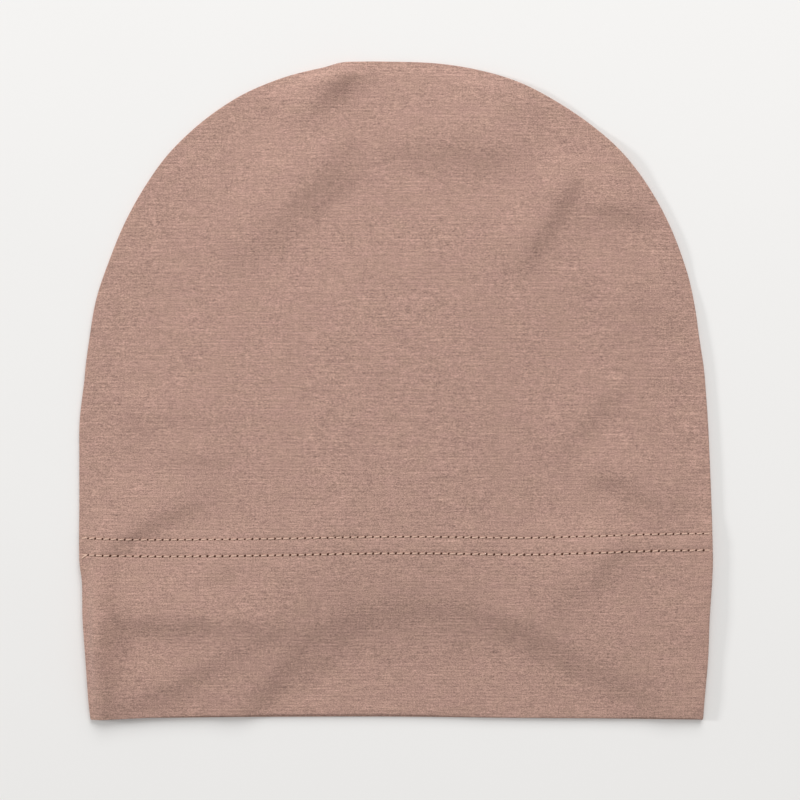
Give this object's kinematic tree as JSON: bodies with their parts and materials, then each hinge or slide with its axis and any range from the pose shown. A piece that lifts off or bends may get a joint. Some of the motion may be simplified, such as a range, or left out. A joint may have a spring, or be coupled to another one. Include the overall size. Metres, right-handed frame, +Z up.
{
  "type": "underscarf cap",
  "caption": "Dome-shaped underscarf cap of soft jersey knit with a deep stitched hem at its open mouth, lying flat.",
  "frame": {"origin": "middle of the cap's outline seen from above, on the surface that it lies on", "axes": "+Y from the open hem towards the top of the crown, +Z up out of the front panel, +X to the right of someone who looks down on the front panel with the crown away from them"},
  "size_m": [0.2401, 0.25, 0.0108],
  "materials": {
    "jersey": "matt single jersey knit in dusty mauve taupe with fine crosswise slubs",
    "hem_thread": "soft spun sewing thread, a little lighter and warmer than the cloth"
  },
  "bodies": {
    "root": {"front_panel": "jersey", "back_panel": "jersey"}
  },
  "joints": []
}
